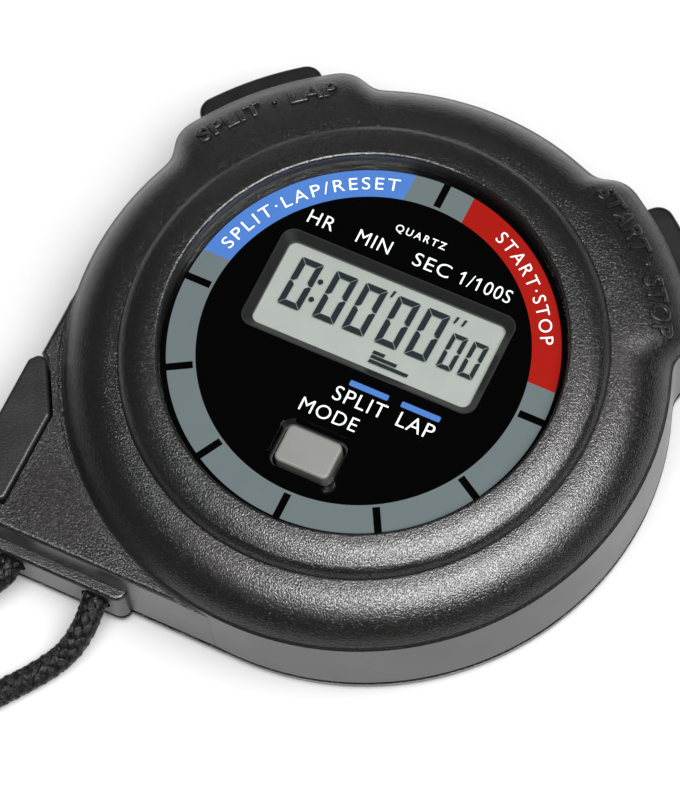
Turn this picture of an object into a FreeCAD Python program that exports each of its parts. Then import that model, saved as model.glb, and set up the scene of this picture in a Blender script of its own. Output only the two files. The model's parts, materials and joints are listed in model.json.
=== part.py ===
import FreeCAD, Part
import math
import os

# Digital stopwatch on a neck cord, lying on its flat back.
# Millimetres. The origin is on the dial's axis at the flat back, +Z rises out of the dial and
# +Y points to 12 o'clock. Each function near the end makes one sub-part.

os.makedirs("parts", exist_ok=True)
Vec = FreeCAD.Vector
X_AXIS = Vec(1, 0, 0)
Y_AXIS = Vec(0, 1, 0)
Z_AXIS = Vec(0, 0, 1)
CENTRE = Vec(0, 0, 0)

# ---- heights above the flat back
COVER_FLOOR_Z = 1.6       # inside floor of the back cover
BAND_Z = 0.8              # lower edge of the cover's nearly upright band
BAND_INSET = 0.15         # how far the band leans in from the seam to its lower edge
SEAM_Z = 2.0              # where the two case halves meet
SEAM_GAP = 0.6            # height of the shadow groove round the seam
SEAM_DEPTH = 0.6          # depth of that groove
PLATE_Z = 11.5            # flat top of the square cord corner
EDGE_Z = 12.1             # sharp edge between side wall and dome
GROOVE_Z = 15.7           # valley between dome and raised bezel
CREST_Z = 17.78           # top of the bezel
ROOF_Z = 13.8             # inside of the case's top wall
CAVITY_SLOPE_Z = 11.2     # where the inside wall starts to slope in
LEDGE_Z = 15.1            # ledge that carries the dial and lens
CARD_Z = 15.2             # underside of the dial card
DIAL_Z = 15.65            # printed face of the dial card
LENS_Z = 15.7             # underside of the lens
LENS_TOP_Z = 17.0
BOARD_Z = 6.2             # underside of the circuit board
BOARD_TOP_Z = 7.2
HOUSING_PLATE_Z = 12.6     # underside of the module housing's plate
HOUSING_TOP_Z = 13.6
COLLAR_TOP_Z = 14.25      # rim of the housing round the LCD

# ---- radii about the dial's axis
BODY_R = 32.2             # round case
EDGE_INSET = 0.3          # how far the dome's edge stands in from the side wall
GROOVE_R = 26.0
BEZEL_FOOT_R = 25.9
CREST_R = 21.8
SEAT_R = 21.5             # lens seat, and the bezel's inner edge
LENS_R = 21.35
SIGHT_R = 19.9            # opening under the dial card
CAVITY_R = 29.8           # inside of the side wall
CAVITY_ROOF_R = 26.9      # where its sloping shoulder meets the roof
HOUSING_R = 26.8
BOARD_R = 24.9

# ---- raised bezel: points (radius, height) that its two arcs pass through
BEZEL_FLANK_POINT = (25.56, 16.41)
BEZEL_SHOULDER = (24.9, 16.99)
BEZEL_TOP_POINT = (23.4, 17.58)
BEZEL_LIP_POINT = (21.59, 17.69)
BEZEL_LIP_Z = 17.48       # its inner edge, above the lens

# ---- shoulders over the two side buttons
BUTTON_ANGLES = {"start_stop": 45.0, "split_lap": 135.0}
SHOULDER_OUT = 2.3        # how far a shoulder stands out from the round case
SHOULDER_HEAD = 15.5      # degrees either side of its centre where it starts to fall away
SHOULDER_FOOT = 22.5      # degrees either side where it has blended into the round case
OUTLINE_STEP = 3          # degrees between the outline's points

# ---- dome between groove and edge: a circular arc
DOME_RISE = GROOVE_Z - EDGE_Z
DOME_RUN = BODY_R - EDGE_INSET - GROOVE_R
DOME_BULGE = 0.9
DOME_SECTIONS = 6

# ---- square cord corner, centred on 225 degrees
CORNER_ROUND = 3.0
CORNER_SET_IN = 0.08      # how far the corner's flat sides stand in from the round body
PLATE_ROUND = 0.5
CREASE_WIDTH = 0.45
CREASE_DEPTH = 0.6

# ---- cord boss on the lower side, with its tunnel
BOSS_X = (-29.3, -12.6)
BOSS_FRONT_Y = -33.4
BOSS_BACK_Y = -27.0
BOSS_TOP_Z = 7.2
BOSS_ROUND = 1.2
CORD_DIAMETER = 2.9
CORD_R = CORD_DIAMETER / 2
TUNNEL_R = 1.7
TUNNEL_X = -20.95
TUNNEL_BEND_R = 5.05
TUNNEL_Z = 5.0

# ---- side buttons, in a frame whose +X points out along the button
PAD_HALF_WIDTH = 7.0
PAD_Z = (5.7, 10.3)
PAD_FACE_R = 37.0
SLOT_GAP = 0.15
FLANGE_X = (30.6, 32.1)
FLANGE_HALF_WIDTH = 8.3
FLANGE_Z = (5.0, 11.0)
RECESS_X = (27.5, 32.2)
RECESS_HALF_WIDTH = 8.6
RECESS_Z = (4.8, 11.2)
PLUNGER_Z = 8.3
PLUNGER_R = 0.9
PLUNGER_TIP_X = 26.1

# ---- display
LCD_Y = 3.6
WINDOW = (27.3, 12.2)
WINDOW_CORNER = 1.5
SIGHT = (25.3, 10.2)
SIGHT_CORNER = 0.9
GLASS = (30.0, 16.5)
REAR_GLASS = (30.0, 14.0)
FILM = (29.0, 13.6)
FRAME_FLANGE = (31.4, 16.2)
FRAME_Z = (14.3, 15.15)   # the frame's flange, between the LCD and the dial card
FRAME_TOP_Z = 15.6
SIGHT_TOP_Z = 14.75       # where the frame's sides stop sloping
POLARISER_Z = (14.05, 14.25)
FRONT_GLASS_Z = (13.35, 14.05)
REAR_GLASS_Z = (12.65, 13.35)
REFLECTOR_Z = (12.45, 12.65)
POCKET_GAP = 0.2

# ---- mode button on the face
MODE_Y = -13.0
MODE_CAP = (6.2, 4.3)
MODE_CAP_TOP_Z = 16.3
MODE_CORNER = 0.7
MODE_HOLE = (7.6, 5.65)
MODE_HOLE_CORNER = 1.2
MODE_WELL = (6.85, 4.9)
MODE_WELL_Z = (11.0, 15.1)
MODE_FLANGE = (8.2, 6.3)
MODE_FLANGE_Z = (9.9, 10.8)
MODE_STEM_R = 1.2
MODE_STEM_Z = 8.9
KEY_TOP_Z = 8.85

# ---- screws
CASE_SCREW_R = 26.2
CASE_SCREW_ANGLES = (0, 90, 180, 270)
CORNER_SCREW = (-25.6, -21.2)
CASE_HEAD = (1.9, 0.25, 1.2)          # radius, bottom, top
CASE_SHAFT_R = 1.0
CASE_SHAFT_TOP_Z = 8.6
POST_R = 1.9
POST_Z = 1.9
MODULE_SCREW_R = 22.5
MODULE_SCREW_ANGLES = (110, 200, 335)
MODULE_SHAFT_TOP_Z = 10.8

# ---- power and sound
CELL = (5.0, 7.0, 10.0, 2.6, 5.8)     # x, y, radius, bottom, top
BUZZER = (-8.0, -12.0, 7.5)           # x, y, radius

# ---- side pad let into the left of the corner
SIDE_PAD_POINTS = [
    (-33.05, -14.0),
    (-32.3, -13.1),
    (-31.35, -13.1),
    (-27.95, -18.8),
    (-27.95, -29.6),
    (-33.05, -29.6),
]
SIDE_PAD_Z = (6.0, 11.5)
SIDE_PAD_GAP = 0.35

# ---- neck cord: strand from each mouth to the coil, and the coil that stores the rest
COIL_X = -49.5
COIL_Y = -53.5
COIL_MID_R = 15.0
COIL_ROWS = 4
COIL_BASE_Z = 0.4
COIL_OUTER_LINE_R = COIL_MID_R + (COIL_ROWS - 1) * CORD_R
COIL_ENTRY_ANGLE = -33.0
COIL_EXIT_ANGLE = 79.0
TIE_ANGLE = 205.0
TIE_WIDTH = 7.0
TIE_THICKNESS = 0.4


def save(name, shape):
    """Writes one sub-part, and prints what a reader needs to trust it."""
    box = shape.BoundBox
    state = "ok" if shape.isValid() else "INVALID"
    sizes = f"{box.XLength:7.2f} {box.YLength:7.2f} {box.ZLength:7.2f}"
    print(f"{name:22s} {state} solids {len(shape.Solids)} volume {shape.Volume:10.2f} size {sizes}")
    shape.exportStep(f"parts/{name}.step")


def box(x, y, z):
    """A box from pairs of low and high corners."""
    return Part.makeBox(x[1] - x[0], y[1] - y[0], z[1] - z[0], Vec(x[0], y[0], z[0]))


def cylinder(radius, z, x=0.0, y=0.0):
    return Part.makeCylinder(radius, z[1] - z[0], Vec(x, y, z[0]))


def ring(inner, outer, z):
    return cylinder(outer, z).cut(cylinder(inner, z))


def polar(radius, angle, z=0.0, x=0.0, y=0.0):
    turn = math.radians(angle)
    return Vec(x + radius * math.cos(turn), y + radius * math.sin(turn), z)


def rounded_rectangle(x, y, size, corner, z):
    """A closed wire: a rectangle about (x, y) with round corners."""
    half_x = size[0] / 2
    half_y = size[1] / 2
    edges = []
    corners = ((half_x, half_y, 0), (-half_x, half_y, 90), (-half_x, -half_y, 180), (half_x, -half_y, 270))
    last = None
    first = None
    for cx, cy, start in corners:
        middle = Vec(x + cx - math.copysign(corner, cx), y + cy - math.copysign(corner, cy), z)
        a, b, c = [middle + polar(corner, start + turn) for turn in (0, 45, 90)]
        if last is None:
            first = a
        else:
            edges.append(Part.LineSegment(last, a).toShape())
        edges.append(Part.Arc(a, b, c).toShape())
        last = c
    edges.append(Part.LineSegment(last, first).toShape())
    return Part.Wire(edges)


def prism(wire, height):
    return Part.Face(wire).extrude(Vec(0, 0, height))


def rounded_box(x, y, size, corner, z):
    return prism(rounded_rectangle(x, y, size, corner, z[0]), z[1] - z[0])


def revolved(edges):
    """A solid of revolution about Z from edges of a closed profile in the XZ plane."""
    return Part.Face(Part.Wire(edges)).revolve(CENTRE, Z_AXIS, 360)


def line(a, b):
    return Part.LineSegment(Vec(a[0], 0, a[1]), Vec(b[0], 0, b[1])).toShape()


def arc(a, b, c):
    return Part.Arc(Vec(a[0], 0, a[1]), Vec(b[0], 0, b[1]), Vec(c[0], 0, c[1])).toShape()


def polygon_profile(points):
    return [line(a, b) for a, b in zip(points, points[1:] + points[:1])]


def fuse(shapes):
    whole = shapes[0]
    for shape in shapes[1:]:
        whole = whole.fuse(shape)
    return whole.removeSplitter()


def turned(shape, angle):
    turned_shape = shape.copy()
    turned_shape.rotate(CENTRE, Z_AXIS, angle)
    return turned_shape


def coil_spring(mean_r, wire_r, length, turns):
    """A round-wire compression spring that stands on z = 0, its wire's ends left open."""
    pitch = (length - 2 * wire_r) / turns
    path = Part.Wire(Part.makeLongHelix(pitch, pitch * turns, mean_r).Edges)
    section = Part.Wire(Part.makeCircle(wire_r, Vec(mean_r, 0, 0), Y_AXIS))
    spring = path.makePipeShell([section], True, True)
    spring.translate(Vec(0, 0, wire_r))
    return spring


# ---- the case's outline: a round body with two shoulders, a square corner and a boss

def case_radius(angle, inset):
    """The round body's radius at an angle in degrees from +X, with its shoulders."""
    reach = 0.0
    for centre in BUTTON_ANGLES.values():
        fall = (SHOULDER_FOOT - abs(angle - centre)) / (SHOULDER_FOOT - SHOULDER_HEAD)
        step = min(1.0, max(0.0, fall))
        reach += SHOULDER_OUT * step * step * (3 - 2 * step)
    return BODY_R + reach - inset


def case_curve(z, inset, outward=1.0):
    """The outline at one height. outward runs from 0 at the groove to 1 at the outline."""
    points = []
    for angle in range(0, 360, OUTLINE_STEP):
        radius = GROOVE_R + (case_radius(angle, inset) - GROOVE_R) * outward
        points.append(polar(radius, angle, z))
    curve = Part.BSplineCurve()
    curve.interpolate(Points=points, PeriodicFlag=True)
    return Part.Wire(curve.toShape())


def corner_curve(z, inset):
    """The square corner's outline. Its two inner sides are buried in the round body."""
    low = -BODY_R + CORNER_SET_IN + inset
    return rounded_rectangle(low / 2, low / 2, (-low, -low), CORNER_ROUND, z)


def body_curve(z, inset):
    """The whole outline but the boss: round body and square corner in one closed curve."""
    low = -BODY_R + inset
    turn = low + CORNER_ROUND
    round_points = [polar(case_radius(angle, inset), angle, z) for angle in range(-90, 181, OUTLINE_STEP)]
    round_side = Part.BSplineCurve()
    round_side.interpolate(Points=round_points, InitialTangent=X_AXIS, FinalTangent=-Y_AXIS)
    corner = [Vec(turn, turn, z) + polar(CORNER_ROUND, angle) for angle in (180, 225, 270)]
    return Part.Wire([
        round_side.toShape(),
        Part.LineSegment(round_points[-1], corner[0]).toShape(),
        Part.Arc(*corner).toShape(),
        Part.LineSegment(corner[2], round_points[0]).toShape(),
    ])


def boss_curve(z, inset):
    low_x = BOSS_X[0] + inset
    high_x = BOSS_X[1] - inset
    low_y = BOSS_FRONT_Y + inset
    middle = ((low_x + high_x) / 2, (low_y + BOSS_BACK_Y) / 2)
    return rounded_rectangle(*middle, (high_x - low_x, BOSS_BACK_Y - low_y), BOSS_ROUND, z)


def slab(z, inset):
    """The whole outline as a flat slab."""
    body, boss = [prism(outline(z[0], inset), z[1] - z[0]) for outline in (body_curve, boss_curve)]
    return body.fuse(boss).removeSplitter()


def case_screw_places():
    places = [polar(CASE_SCREW_R, angle) for angle in CASE_SCREW_ANGLES]
    return places + [Vec(*CORNER_SCREW, 0)]


def top_edges(shape, z):
    """The edges that lie wholly at one height."""
    return [e for e in shape.Edges if abs(e.BoundBox.ZMin - z) < 1e-4 and abs(e.BoundBox.ZMax - z) < 1e-4]


def cord_tunnel(radius):
    """The half ring between the two cord mouths, bending round the wall between them."""
    whole = Part.makeTorus(TUNNEL_BEND_R, radius, Vec(TUNNEL_X, BOSS_FRONT_Y, TUNNEL_Z), Z_AXIS)
    reach = TUNNEL_BEND_R + radius + 1
    inside = box(
        (TUNNEL_X - reach, TUNNEL_X + reach),
        (BOSS_FRONT_Y, BOSS_FRONT_Y + reach),
        (TUNNEL_Z - radius - 1, TUNNEL_Z + radius + 1),
    )
    return whole.common(inside)


def dome():
    """The domed top between the sharp edge and the groove, filled to the axis."""
    chord = math.hypot(DOME_RISE, DOME_RUN)
    radius = (chord * chord / 4 + DOME_BULGE * DOME_BULGE) / (2 * DOME_BULGE)
    half = math.asin(chord / 2 / radius)
    lean = math.atan2(DOME_RISE, DOME_RUN)
    sections = []
    for k in range(DOME_SECTIONS):
        turn = half - 2 * half * k / (DOME_SECTIONS - 1)
        along = chord / 2 - radius * math.sin(turn)
        bulge = radius * math.cos(turn) - radius * math.cos(half)
        inward = along * math.cos(lean) - bulge * math.sin(lean)
        rise = along * math.sin(lean) + bulge * math.cos(lean)
        sections.append(case_curve(EDGE_Z + rise, EDGE_INSET, 1 - inward / DOME_RUN))
    return Part.makeLoft(sections, True, False)


def bezel():
    """The raised ring round the lens."""
    edges = [
        line((SEAT_R, ROOF_Z), (BEZEL_FOOT_R, ROOF_Z)),
        line((BEZEL_FOOT_R, ROOF_Z), (BEZEL_FOOT_R, GROOVE_Z - 0.1)),
        arc((BEZEL_FOOT_R, GROOVE_Z - 0.1), BEZEL_FLANK_POINT, BEZEL_SHOULDER),
        arc(BEZEL_SHOULDER, BEZEL_TOP_POINT, (CREST_R, CREST_Z)),
        arc((CREST_R, CREST_Z), BEZEL_LIP_POINT, (SEAT_R, BEZEL_LIP_Z)),
        line((SEAT_R, BEZEL_LIP_Z), (SEAT_R, ROOF_Z)),
    ]
    return revolved(edges)


def corner_block():
    wall_base = SEAM_Z + SEAM_GAP / 2
    block = prism(corner_curve(wall_base, 0), PLATE_Z - wall_base)
    block = block.makeFillet(PLATE_ROUND, top_edges(block, PLATE_Z))
    crease = ring(BODY_R - 1, BODY_R + CREASE_WIDTH, (PLATE_Z - CREASE_DEPTH, PLATE_Z + 1))
    return block.cut(crease)


def boss_block():
    wall_base = SEAM_Z + SEAM_GAP / 2
    block = prism(boss_curve(wall_base, 0), BOSS_TOP_Z - wall_base)
    return block.makeFillet(0.45, top_edges(block, BOSS_TOP_Z))


def side_pad_outline(z, grow):
    points = [Vec(x, y, z) for x, y in SIDE_PAD_POINTS]
    outline = Part.makePolygon(points + points[:1])
    return outline.makeOffset2D(grow) if grow else outline


def button_room():
    """What a side button needs cut from the upper case, along +X."""
    recess = box(RECESS_X, (-RECESS_HALF_WIDTH, RECESS_HALF_WIDTH), RECESS_Z)
    half = PAD_HALF_WIDTH + SLOT_GAP
    slot = box((RECESS_X[0], PAD_FACE_R + 1), (-half, half), (PAD_Z[0] - SLOT_GAP, PAD_Z[1] + SLOT_GAP))
    return recess.fuse(slot)


def upper_case():
    wall_base = SEAM_Z + SEAM_GAP / 2
    wall_top = EDGE_Z - EDGE_INSET
    walls = prism(case_curve(wall_base, 0), wall_top - wall_base)
    bevel = Part.makeLoft([case_curve(wall_top, 0), case_curve(EDGE_Z, EDGE_INSET)], True, True)
    rim = slab((SEAM_Z, wall_base), SEAM_DEPTH)
    case = fuse([walls, bevel, dome(), bezel(), corner_block(), boss_block(), rim])

    cavity = revolved(polygon_profile([
        (0, SEAM_Z - 1),
        (CAVITY_R, SEAM_Z - 1),
        (CAVITY_R, CAVITY_SLOPE_Z),
        (CAVITY_ROOF_R, ROOF_Z),
        (0, ROOF_Z),
    ]))
    case = case.cut(cavity)
    case = case.cut(cylinder(SIGHT_R, (ROOF_Z - 1, CREST_Z + 1)))
    case = case.cut(cylinder(SEAT_R, (LEDGE_Z, CREST_Z + 1)))
    for angle in BUTTON_ANGLES.values():
        case = case.cut(turned(button_room(), angle))
    for place in case_screw_places():
        in_corner = math.hypot(place.x, place.y) > BODY_R
        post_top = PLATE_Z - 1 if in_corner else ROOF_Z
        case = case.fuse(cylinder(POST_R, (POST_Z, post_top), place.x, place.y))
    for place in case_screw_places():
        case = case.cut(cylinder(CASE_SHAFT_R - 0.15, (0, CASE_SHAFT_TOP_Z + 0.6), place.x, place.y))
    pocket_depth = PLATE_Z + 1 - SIDE_PAD_Z[0] + 0.05
    case = case.cut(prism(side_pad_outline(SIDE_PAD_Z[0] - 0.05, SIDE_PAD_GAP), pocket_depth))
    return case.cut(cord_tunnel(TUNNEL_R)).removeSplitter()


def rounded_underside(outline, bottom, steps, ruled):
    """An outline's lower part, drawn in towards the flat back by a quarter round."""
    sections = []
    for k in range(steps + 1):
        turn = math.radians(90 * k / steps)
        inset = BAND_INSET + (BAND_Z - BAND_INSET) * (1 - math.cos(turn))
        sections.append(outline(BAND_Z - (BAND_Z - bottom) * math.sin(turn), inset))
    return Part.makeLoft(sections, True, ruled)


def leaning_band(outline):
    return Part.makeLoft([outline(BAND_Z, BAND_INSET), outline(SEAM_Z - SEAM_GAP / 2, 0)], True, True)


def back_cover():
    cover = fuse([
        rounded_underside(body_curve, 0, 5, False),
        rounded_underside(boss_curve, 0.2, 8, True),
        leaning_band(body_curve),
        leaning_band(boss_curve),
        slab((SEAM_Z - SEAM_GAP / 2, SEAM_Z), SEAM_DEPTH),
    ])
    cover = cover.cut(cylinder(CAVITY_R, (COVER_FLOOR_Z, SEAM_Z + 1)))

    cover = cover.fuse(ring(CAVITY_R - 0.8, CAVITY_R - 0.1, (COVER_FLOOR_Z, SEAM_Z + 0.8)))
    for place in case_screw_places():
        boss = cylinder(POST_R + 0.7, (1.0, POST_Z - 0.05), place.x, place.y)
        clear_post = cylinder(POST_R + 0.15, (POST_Z - 0.05, SEAM_Z + 1), place.x, place.y)
        cover = cover.fuse(boss).cut(clear_post)
    for place in case_screw_places():
        head_room = cylinder(CASE_HEAD[0] + 0.15, (-1, CASE_HEAD[2]), place.x, place.y)
        shaft_room = cylinder(CASE_SHAFT_R + 0.1, (0, POST_Z), place.x, place.y)
        cover = cover.cut(head_room).cut(shaft_room)
    for angle in (24, 156, 205, 245, 295, 335):
        rib = box((HOUSING_R - 0.9, HOUSING_R + 0.1), (-1.5, 1.5), (COVER_FLOOR_Z - 0.2, BOARD_Z - 0.3))
        cover = cover.fuse(turned(rib, angle))
    return cover.removeSplitter()


def side_pad():
    pad = prism(side_pad_outline(SIDE_PAD_Z[0], 0), SIDE_PAD_Z[1] - SIDE_PAD_Z[0])
    upright = [e for e in pad.Edges if e.BoundBox.ZLength > 1]
    pad = pad.makeFillet(0.8, upright)
    return pad.makeFillet(0.4, top_edges(pad, SIDE_PAD_Z[1]))


def lens():
    """Clear crystal: a bevelled disc with the mode button's hole through it."""
    rim_z = LENS_TOP_Z - 0.15
    body = revolved(polygon_profile([
        (0, LENS_Z),
        (LENS_R, LENS_Z),
        (LENS_R, rim_z - 0.1),
        (LENS_R - 0.1, rim_z),
        (19.7, LENS_TOP_Z),
        (0, LENS_TOP_Z),
    ]))
    return body.cut(rounded_box(0, MODE_Y, MODE_HOLE, MODE_HOLE_CORNER, (LENS_Z - 1, LENS_TOP_Z + 1)))


def lens_adhesive():
    return ring(SIGHT_R + 0.2, LENS_R - 0.1, (LEDGE_Z, CARD_Z))


def dial_card():
    card = cylinder(LENS_R, (CARD_Z, DIAL_Z))
    card = card.cut(rounded_box(0, LCD_Y, WINDOW, WINDOW_CORNER, (CARD_Z - 1, DIAL_Z + 1)))
    hole = (MODE_HOLE[0] - 0.4, MODE_HOLE[1] - 0.4)
    return card.cut(rounded_box(0, MODE_Y, hole, MODE_HOLE_CORNER - 0.2, (CARD_Z - 1, DIAL_Z + 1)))


def window_frame():
    """Frame under the card with a neck up through its window and sloping sides down to the LCD."""
    flange = rounded_box(0, LCD_Y, FRAME_FLANGE, 1.0, FRAME_Z)
    neck_size = (WINDOW[0] - 0.1, WINDOW[1] - 0.1)
    neck = rounded_box(0, LCD_Y, neck_size, WINDOW_CORNER - 0.05, (FRAME_Z[1], FRAME_TOP_Z))
    mouth = (WINDOW[0] - 0.4, WINDOW[1] - 0.4)
    slope = Part.makeLoft([
        rounded_rectangle(0, LCD_Y, mouth, WINDOW_CORNER - 0.2, FRAME_TOP_Z),
        rounded_rectangle(0, LCD_Y, SIGHT, SIGHT_CORNER, SIGHT_TOP_Z),
    ], True, True)
    straight = rounded_box(0, LCD_Y, SIGHT, SIGHT_CORNER, (FRAME_Z[0] - 0.3, SIGHT_TOP_Z))
    return flange.fuse(neck).cut(slope).cut(straight).removeSplitter()


def lcd_sheet(size, z):
    return rounded_box(0, LCD_Y, size, 0.2, z)


def connector_strip(side):
    middle = LCD_Y + side * (REAR_GLASS[1] / 2 + 0.65)
    return box((-14.0, 14.0), (middle - 0.5, middle + 0.5), (BOARD_TOP_Z, FRONT_GLASS_Z[0]))


def module_housing():
    """Moulded frame that holds the display, the board and the mode button's guide."""
    plate = cylinder(HOUSING_R, (HOUSING_PLATE_Z, HOUSING_TOP_Z))
    skirt = ring(HOUSING_R - 0.8, HOUSING_R, (BOARD_Z - 0.2, HOUSING_TOP_Z))
    pocket = (GLASS[0] + 2 * POCKET_GAP, GLASS[1] + 2 * POCKET_GAP)
    wall = (pocket[0] + 2.0, pocket[1] + 2.0)
    lcd_walls = rounded_box(0, LCD_Y, wall, 1.0, (BOARD_TOP_Z + 0.05, HOUSING_PLATE_Z))
    collar_z = (HOUSING_TOP_Z, COLLAR_TOP_Z)
    collar = rounded_box(0, LCD_Y, wall, 1.0, collar_z).common(cylinder(SIGHT_R - 0.3, collar_z))
    guide = (MODE_WELL[0] + 2.0, MODE_WELL[1] + 2.0)
    well = rounded_box(0, MODE_Y, guide, 1.2, MODE_WELL_Z)
    housing = fuse([plate, skirt, lcd_walls, collar, well])
    for angle in MODULE_SCREW_ANGLES:
        place = polar(MODULE_SCREW_R, angle)
        housing = housing.fuse(cylinder(2.0, (BOARD_TOP_Z + 0.05, HOUSING_PLATE_Z), place.x, place.y))
    housing = housing.cut(rounded_box(0, LCD_Y, pocket, 0.4, (BOARD_TOP_Z, COLLAR_TOP_Z + 0.1)))
    through = (MODE_WELL_Z[0] - 1, MODE_WELL_Z[1] + 0.1)
    housing = housing.cut(rounded_box(0, MODE_Y, MODE_WELL, MODE_CORNER + 0.2, through))
    for angle in MODULE_SCREW_ANGLES:
        place = polar(MODULE_SCREW_R, angle)
        housing = housing.cut(cylinder(0.75, (BOARD_TOP_Z, MODULE_SHAFT_TOP_Z + 0.4), place.x, place.y))
    for angle in CASE_SCREW_ANGLES:
        place = polar(CASE_SCREW_R, angle)
        housing = housing.cut(cylinder(POST_R + 0.3, (5.0, 14.0), place.x, place.y))
    for angle in BUTTON_ANGLES.values():
        passage = Part.makeCylinder(PLUNGER_R + 0.25, 4, Vec(24.5, 0, PLUNGER_Z), X_AXIS)
        housing = housing.cut(turned(passage, angle))
    return housing.removeSplitter()


def circuit_board():
    board = cylinder(BOARD_R, (BOARD_Z, BOARD_TOP_Z))
    for angle in MODULE_SCREW_ANGLES:
        place = polar(MODULE_SCREW_R, angle)
        board = board.cut(cylinder(1.0, (BOARD_Z - 1, BOARD_TOP_Z + 1), place.x, place.y))
    for angle in CASE_SCREW_ANGLES:
        place = polar(CASE_SCREW_R, angle)
        board = board.cut(cylinder(POST_R + 0.3, (BOARD_Z - 1, BOARD_TOP_Z + 1), place.x, place.y))
    return board


def chip_blob():
    """Drop of black resin over the chip."""
    radius = 4.5
    height = 1.3
    sphere_r = (radius * radius + height * height) / (2 * height)
    ball = Part.makeSphere(sphere_r, Vec(0, LCD_Y, BOARD_TOP_Z + height - sphere_r))
    return ball.common(cylinder(radius + 1, (BOARD_TOP_Z, BOARD_TOP_Z + height + 1), 0, LCD_Y))


def quartz_crystal():
    radius = 1.0
    can = Part.makeCylinder(radius, 6.0, Vec(-15.0, -13.0, BOARD_TOP_Z + radius), X_AXIS)
    return can.makeFillet(0.25, [e for e in can.Edges if e.Curve.TypeId == "Part::GeomCircle"])


def chip_capacitors():
    chips = []
    for x, y in ((8.5, -10.0), (11.5, -10.0), (8.5, -13.5), (11.5, -13.5)):
        chips.append(box((x - 0.8, x + 0.8), (y - 0.4, y + 0.4), (BOARD_TOP_Z, BOARD_TOP_Z + 0.7)))
    return Part.makeCompound(chips)


def coin_cell():
    x, y, radius, bottom, top = CELL
    can = cylinder(radius, (bottom, top - 0.25), x, y)
    can = can.makeFillet(0.3, top_edges(can, bottom))
    return can.fuse(cylinder(radius - 1.6, (top - 0.25, top), x, y)).removeSplitter()


def battery_plus_strap():
    """Bent strip that passes under the cell and stands up to the board at both ends."""
    x, y, radius, bottom, _ = CELL
    thickness = 0.2
    low = bottom - 0.05 - thickness
    reach = radius + 1.2
    outer = box((x - reach, x + reach), (y - 3, y + 3), (low, BOARD_Z))
    inner_reach = reach - thickness
    inner = box((x - inner_reach, x + inner_reach), (y - 4, y + 4), (low + thickness, BOARD_Z + 1))
    return outer.cut(inner)


def battery_minus_leaf():
    x, y, _, _, top = CELL
    points = [
        (x + 7.0, BOARD_Z),
        (x + 7.0, BOARD_Z - 0.12),
        (x + 4.0, BOARD_Z - 0.12),
        (x - 3.0, top + 0.01),
        (x - 4.5, top + 0.01),
        (x - 4.5, top + 0.13),
        (x - 3.0, top + 0.13),
        (x + 4.0, BOARD_Z),
    ]
    wire = Part.makePolygon([Vec(px, y - 2, pz) for px, pz in points + points[:1]])
    return Part.Face(wire).extrude(Vec(0, 4, 0))


def piezo_buzzer():
    x, y, radius = BUZZER
    plate = cylinder(radius, (COVER_FLOOR_Z, COVER_FLOOR_Z + 0.25), x, y)
    return plate.fuse(cylinder(radius - 2, (COVER_FLOOR_Z + 0.25, COVER_FLOOR_Z + 0.4), x, y))


def buzzer_spring():
    x, y, _ = BUZZER
    base = COVER_FLOOR_Z + 0.4
    spring = coil_spring(1.1, 0.15, BOARD_Z - base, 5)
    spring.translate(Vec(x, y, base))
    return spring


def side_button():
    """A side button along +X: finger pad, flange that stops it, plunger that closes the switch."""
    pad = box((FLANGE_X[1] - 0.5, PAD_FACE_R + 1), (-PAD_HALF_WIDTH, PAD_HALF_WIDTH), PAD_Z)
    pad = pad.common(cylinder(PAD_FACE_R, (0, 20)))
    ends = [e for e in pad.Edges if e.BoundBox.ZLength > 4 and e.BoundBox.XMin > 34]
    pad = pad.makeFillet(1.8, ends)
    face_edges = [e for e in pad.Edges if e.BoundBox.ZLength < 1e-4 and e.BoundBox.XMin > 34]
    pad = pad.makeFillet(0.55, face_edges)
    flange = box(FLANGE_X, (-FLANGE_HALF_WIDTH, FLANGE_HALF_WIDTH), FLANGE_Z)
    length = FLANGE_X[0] - PLUNGER_TIP_X + 0.5
    plunger = Part.makeCylinder(PLUNGER_R, length, Vec(PLUNGER_TIP_X, 0, PLUNGER_Z), X_AXIS)
    return fuse([pad, flange, plunger])


def side_spring():
    """Return spring round the plunger, from the module housing to the flange."""
    start = HOUSING_R + 0.05
    spring = coil_spring(1.55, 0.18, FLANGE_X[0] - start - 0.05, 4)
    spring.rotate(CENTRE, Y_AXIS, 90)
    spring.translate(Vec(start, 0, PLUNGER_Z))
    return spring


def side_contact():
    """Springy leaf on the board's edge that the plunger pushes."""
    upright = box((25.6, 25.75), (-2.0, 2.0), (BOARD_TOP_Z, 10.2))
    foot = box((22.8, 25.7), (-2.0, 2.0), (BOARD_TOP_Z, BOARD_TOP_Z + 0.15))
    return upright.fuse(foot).removeSplitter()


def mode_button():
    cap = rounded_box(0, MODE_Y, MODE_CAP, MODE_CORNER, (MODE_FLANGE_Z[1], MODE_CAP_TOP_Z))
    cap = cap.makeFillet(0.3, top_edges(cap, MODE_CAP_TOP_Z))
    flange = rounded_box(0, MODE_Y, MODE_FLANGE, MODE_CORNER, MODE_FLANGE_Z)
    stem = cylinder(MODE_STEM_R, (MODE_STEM_Z, MODE_FLANGE_Z[0]), 0, MODE_Y)
    return fuse([cap, flange, stem])


def mode_rubber_key():
    """Silicone dome that returns the mode button and closes its switch."""
    outer = Part.makeCone(2.8, 1.6, KEY_TOP_Z - BOARD_TOP_Z, Vec(0, MODE_Y, BOARD_TOP_Z))
    inner = Part.makeCone(2.2, 1.2, 1.0, Vec(0, MODE_Y, BOARD_TOP_Z))
    return outer.cut(inner)


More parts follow.
